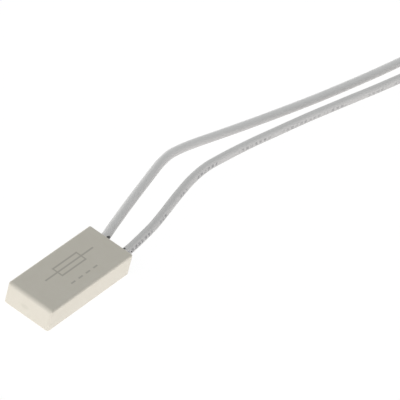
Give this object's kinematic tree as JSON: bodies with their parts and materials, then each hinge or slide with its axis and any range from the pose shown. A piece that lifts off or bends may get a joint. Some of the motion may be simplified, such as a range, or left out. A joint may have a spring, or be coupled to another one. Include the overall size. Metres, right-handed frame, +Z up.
{
  "type": "thermal fuse",
  "caption": "Flat moulded thermal fuse with a fusible alloy link, a potted mouth and insulated leads with bare tinned tips.",
  "frame": {"origin": "centre of the case's underside", "axes": "+X along the case towards the leads, +Y across it, +Z up from the broad face it lies on"},
  "size_m": [0.1205, 0.0192, 0.0046],
  "materials": {
    "case_plastic": "fine matt moulding",
    "potting_resin": "cast, slightly glossy",
    "lead_insulation": "extruded, satin",
    "tinned_copper": "tinned",
    "ferrule_brass": "tinned brass",
    "fusible_alloy": "dull cast alloy",
    "flux_resin": "amber resin"
  },
  "bodies": {
    "root": {"case": "case_plastic", "end_seal": "potting_resin", "jacket_a": "lead_insulation", "jacket_b": "lead_insulation", "conductor_a": "tinned_copper", "conductor_b": "tinned_copper", "ferrule_a": "ferrule_brass", "ferrule_b": "ferrule_brass", "terminal_a": "tinned_copper", "terminal_b": "tinned_copper", "fusible_link": "fusible_alloy", "flux_coat": "flux_resin"}
  },
  "joints": []
}
